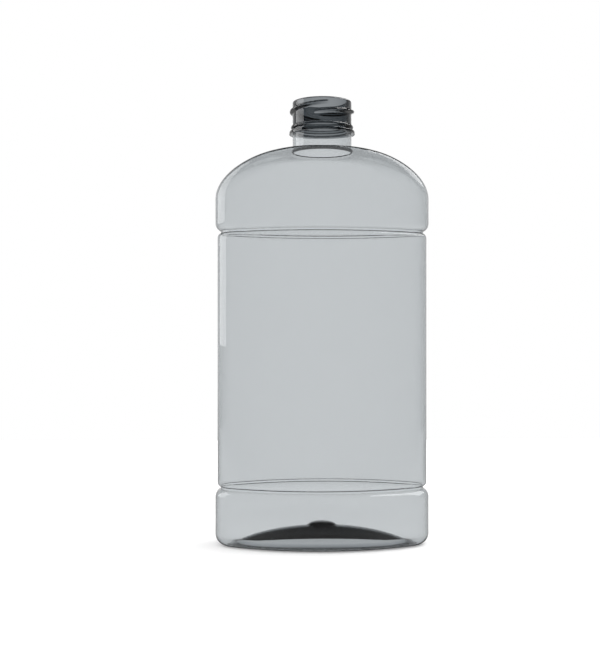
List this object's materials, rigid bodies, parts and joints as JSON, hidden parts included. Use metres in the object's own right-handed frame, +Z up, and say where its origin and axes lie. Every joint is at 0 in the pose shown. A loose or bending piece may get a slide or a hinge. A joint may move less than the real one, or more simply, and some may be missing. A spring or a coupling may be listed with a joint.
{
  "type": "oval bottle",
  "caption": "Clear blown bottle with an oval body, a recessed label panel between grooves, a domed shoulder and a threaded neck with no cap.",
  "frame": {"origin": "middle of the foot, on the surface that the bottle stands on", "axes": "+Z up along the neck, +X across the wide face, +Y through the depth, away from the front"},
  "size_m": [0.0908, 0.0448, 0.1883],
  "materials": {
    "clear_plastic": "clear, faintly grey, glossy"
  },
  "bodies": {
    "root": {"oval_bottle": "clear_plastic"}
  },
  "joints": []
}
